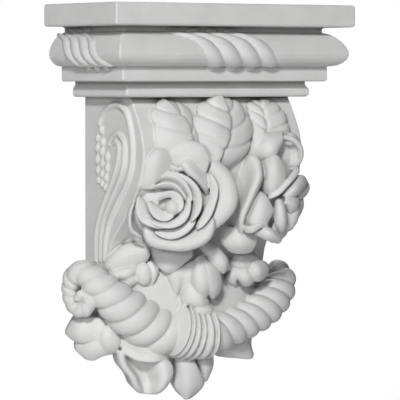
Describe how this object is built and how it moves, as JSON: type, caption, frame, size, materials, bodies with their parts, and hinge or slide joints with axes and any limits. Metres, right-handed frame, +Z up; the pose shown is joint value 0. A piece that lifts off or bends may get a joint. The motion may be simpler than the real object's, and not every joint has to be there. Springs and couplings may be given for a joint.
{
  "type": "corbel",
  "caption": "Cast wall corbel: a moulded shelf over a scrolled block carved with roses, rose leaves and a bound rope swag with curled ends.",
  "frame": {"origin": "on the flat back, in the middle of its width and at half of the corbel's height; the back is the plane y = 0", "axes": "+Z up, +X to the right as the front is faced, -Y out from the wall"},
  "size_m": [0.1844, 0.0865, 0.2554],
  "materials": {
    "cast": "matte white primed casting, unpainted, with soft edges and a few tiny casting pits"
  },
  "bodies": {
    "root": {"corbel": "cast"}
  },
  "joints": []
}
